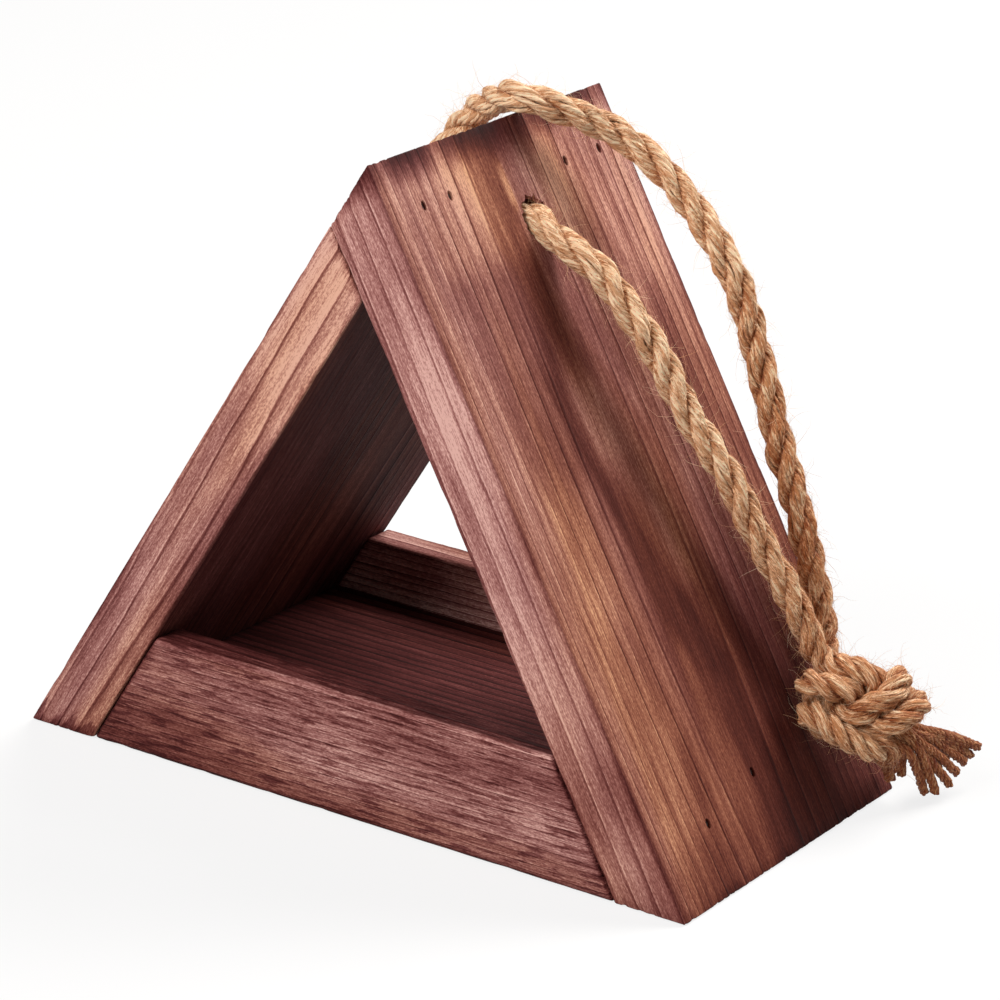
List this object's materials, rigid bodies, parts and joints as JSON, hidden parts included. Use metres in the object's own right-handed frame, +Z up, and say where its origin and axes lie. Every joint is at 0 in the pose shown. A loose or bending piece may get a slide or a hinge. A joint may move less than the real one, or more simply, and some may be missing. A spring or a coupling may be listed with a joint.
{
  "type": "bird feeder",
  "caption": "Hanging bird feeder: planed boards joined into a triangle over a railed seed tray, hung from a jute rope that is tied in a doubled knot",
  "frame": {"origin": "the middle of the feeder's underside, on the surface that it stands on", "axes": "+X to the right along the open front, +Y to the back through the triangle, +Z up to the ridge"},
  "size_m": [0.2513, 0.1377, 0.2154],
  "materials": {
    "stained_wood": "satin",
    "tray_wood": "satin",
    "brad_steel": "dull",
    "jute_rope": "matte"
  },
  "bodies": {
    "root": {"roof_board_right": "stained_wood", "roof_board_left": "stained_wood", "floor_board": "tray_wood", "front_rail": "tray_wood", "back_rail": "tray_wood", "ridge_brads": "brad_steel", "tray_brads": "brad_steel", "rope_in_ridge": "jute_rope", "rope_leg_right": "jute_rope", "rope_leg_left": "jute_rope", "rope_knot": "jute_rope", "rope_tail_long": "jute_rope", "rope_tail_short": "jute_rope"}
  },
  "joints": []
}
